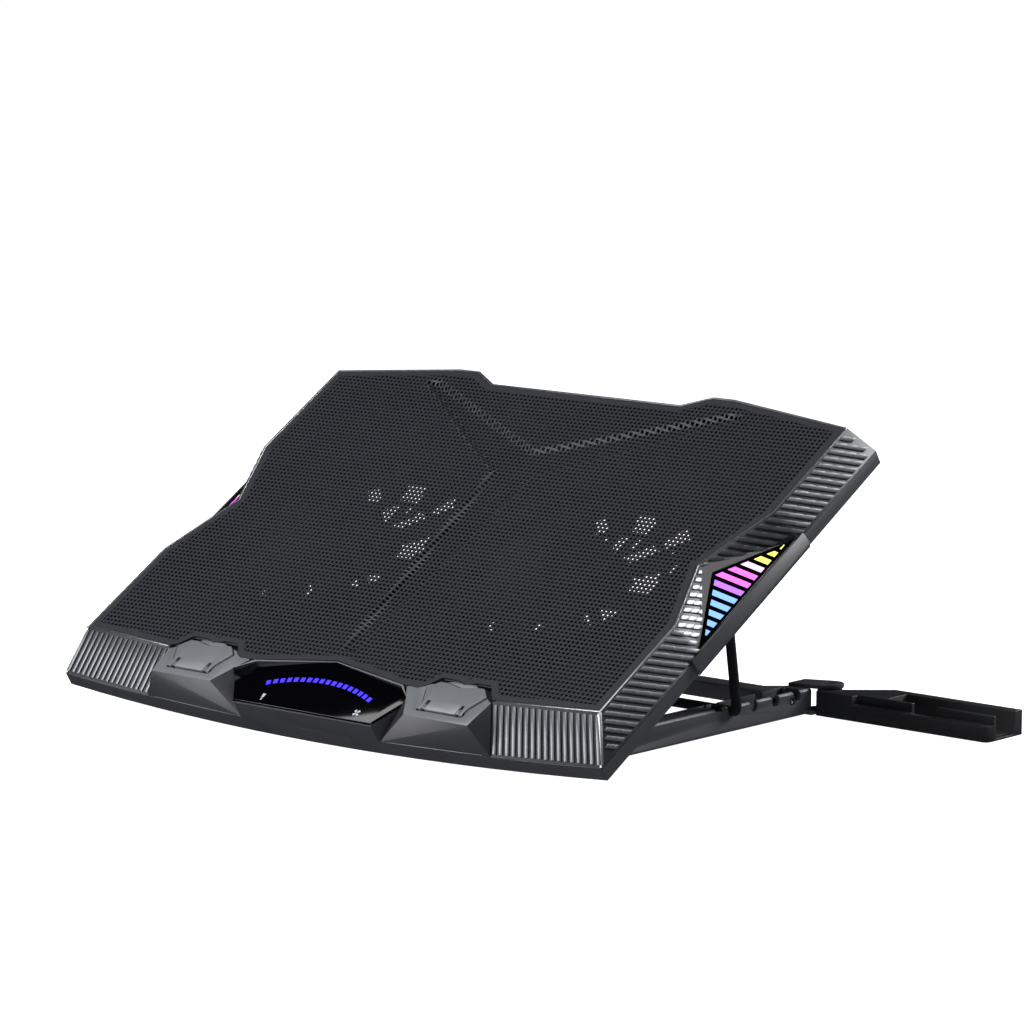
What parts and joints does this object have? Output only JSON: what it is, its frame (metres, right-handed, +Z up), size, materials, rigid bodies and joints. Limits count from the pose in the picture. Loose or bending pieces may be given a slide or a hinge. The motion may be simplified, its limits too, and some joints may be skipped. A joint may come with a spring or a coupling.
{
  "type": "laptop cooling pad",
  "caption": "Tilting fan deck with a perforated metal top, two flip-up laptop stops and a swing-out phone arm, on an open base frame with a wire prop.",
  "frame": {"origin": "middle of the underside of the rubber strip under the front cross member, on the table, straight below the deck's hinge axis", "axes": "+X to the user's right along the hinge axis, +Y from the user towards the back, +Z up"},
  "size_m": [0.4889, 0.2933, 0.1788],
  "materials": {
    "black_plastic": "fine textured black ABS",
    "grey_plastic": "satin dark grey ABS",
    "metal_paint": "satin silver grey metallic paint on plastic",
    "black_steel": "black powder coated steel",
    "bright_steel": "plain zinc plated steel",
    "gloss_black": "polished black acrylic",
    "rubber": "matt black rubber",
    "circuit_board": "green solder mask",
    "light_plastic": "clear acrylic lit from below"
  },
  "bodies": {
    "base": {"left_rail": "grey_plastic", "right_rail": "grey_plastic", "rear_crossbar": "grey_plastic", "front_crossbar": "grey_plastic", "front_left_foot": "rubber", "front_right_foot": "rubber", "rear_left_foot": "rubber", "rear_right_foot": "rubber", "front_foot_strip": "rubber", "rear_left_bar_screw": "bright_steel", "rear_right_bar_screw": "bright_steel", "front_left_bar_screw": "bright_steel", "front_right_bar_screw": "bright_steel", "left_hinge_pin": "bright_steel", "right_hinge_pin": "bright_steel", "arm_pivot_pin": "bright_steel"},
    "prop": {"prop_bar": "black_steel"},
    "phone_arm": {"phone_arm": "black_plastic", "arm_grip_pad": "rubber"},
    "left_stop": {"left_stop": "metal_paint"},
    "right_stop": {"right_stop": "metal_paint"},
    "left_fan": {"left_fan_rotor": "black_plastic"},
    "right_fan": {"right_fan_rotor": "black_plastic"},
    "deck": {"upper_frame": "black_plastic", "left_fan_frame": "black_plastic", "right_fan_frame": "black_plastic", "lower_shell": "grey_plastic", "left_side_trim": "grey_plastic", "right_side_trim": "grey_plastic", "front_trim": "metal_paint", "mesh_panel": "black_steel", "shell_screw_1": "bright_steel", "shell_screw_2": "bright_steel", "shell_screw_3": "bright_steel", "shell_screw_4": "bright_steel", "shell_screw_5": "bright_steel", "shell_screw_6": "bright_steel", "left_stop_pin": "bright_steel", "right_stop_pin": "bright_steel", "usb_socket_1": "bright_steel", "usb_socket_2": "bright_steel", "control_lens": "gloss_black", "left_light_lens": "gloss_black", "right_light_lens": "gloss_black", "control_board": "circuit_board", "left_light_board": "circuit_board", "right_light_board": "circuit_board", "socket_board": "circuit_board", "level_light_guide": "light_plastic"}
  },
  "joints": [
    {"name": "deck_tilt", "type": "hinge", "parent": "base", "child": "deck", "pos_m": [0, 0, 0.0085], "axis": [1, 0, 0], "range_deg": [-31.4, 0]},
    {"name": "prop_swing", "type": "hinge", "parent": "base", "child": "prop", "pos_m": [0, 0.1464, 0.0124], "axis": [1, 0, 0], "range_deg": [-92.51, 0]},
    {"name": "phone_arm_swing", "type": "hinge", "parent": "base", "child": "phone_arm", "pos_m": [0.16, 0.2302, 0.008], "axis": [0, 0, 1], "range_deg": [0, 180]},
    {"name": "left_stop_flip", "type": "hinge", "parent": "deck", "child": "left_stop", "pos_m": [-0.096, -0.03233, 0.03094], "axis": [1, 0, 0], "range_deg": [0, 90]},
    {"name": "right_stop_flip", "type": "hinge", "parent": "deck", "child": "right_stop", "pos_m": [0.096, -0.03233, 0.03094], "axis": [1, 0, 0], "range_deg": [0, 90]},
    {"name": "left_fan_spin", "type": "hinge", "parent": "deck", "child": "left_fan", "pos_m": [-0.088, 0.09438, 0.0913], "axis": [0, -0.521, 0.8536], "continuous": true},
    {"name": "right_fan_spin", "type": "hinge", "parent": "deck", "child": "right_fan", "pos_m": [0.088, 0.09438, 0.0913], "axis": [0, -0.521, 0.8536], "continuous": true}
  ],
  "couplings": [
    {"joint": "prop_swing", "follows": "deck_tilt", "ratio": 2.9459}
  ]
}
